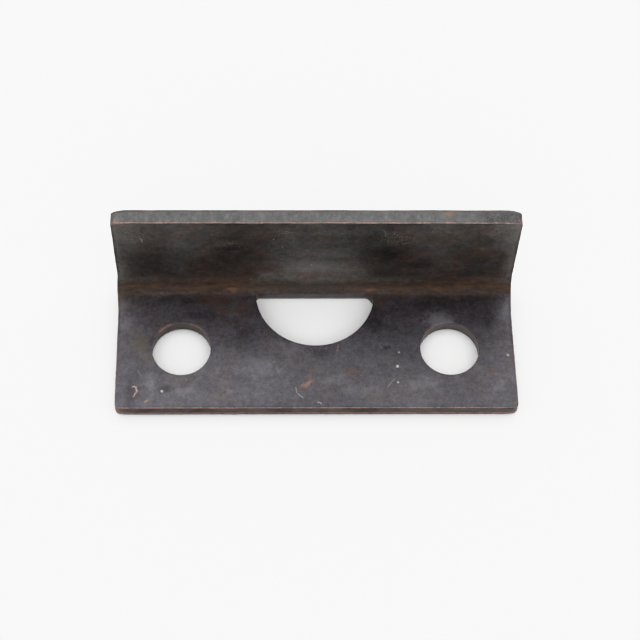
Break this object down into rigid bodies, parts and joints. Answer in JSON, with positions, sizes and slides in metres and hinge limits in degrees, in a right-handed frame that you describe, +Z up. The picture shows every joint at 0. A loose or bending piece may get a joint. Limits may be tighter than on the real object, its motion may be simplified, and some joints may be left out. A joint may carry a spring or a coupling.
{
  "type": "angle strike plate",
  "caption": "Small right-angle sheet-metal strike plate with screw holes and a half-moon opening at the fold that receives a latch bolt.",
  "frame": {"origin": "middle of the base's underside, at the centre of the plate's plan", "axes": "+X along the fold, +Y from the base's free edge towards the upright leg, +Z up, from the base's underside towards the top of the leg"},
  "size_m": [0.0384, 0.0144, 0.0137],
  "materials": {
    "oxidised_copper_plate": "sheet steel plated with copper and chemically darkened to a satin brown-black, with bare copper at the sheared edges"
  },
  "bodies": {
    "root": {"strike_plate": "oxidised_copper_plate"}
  },
  "joints": []
}
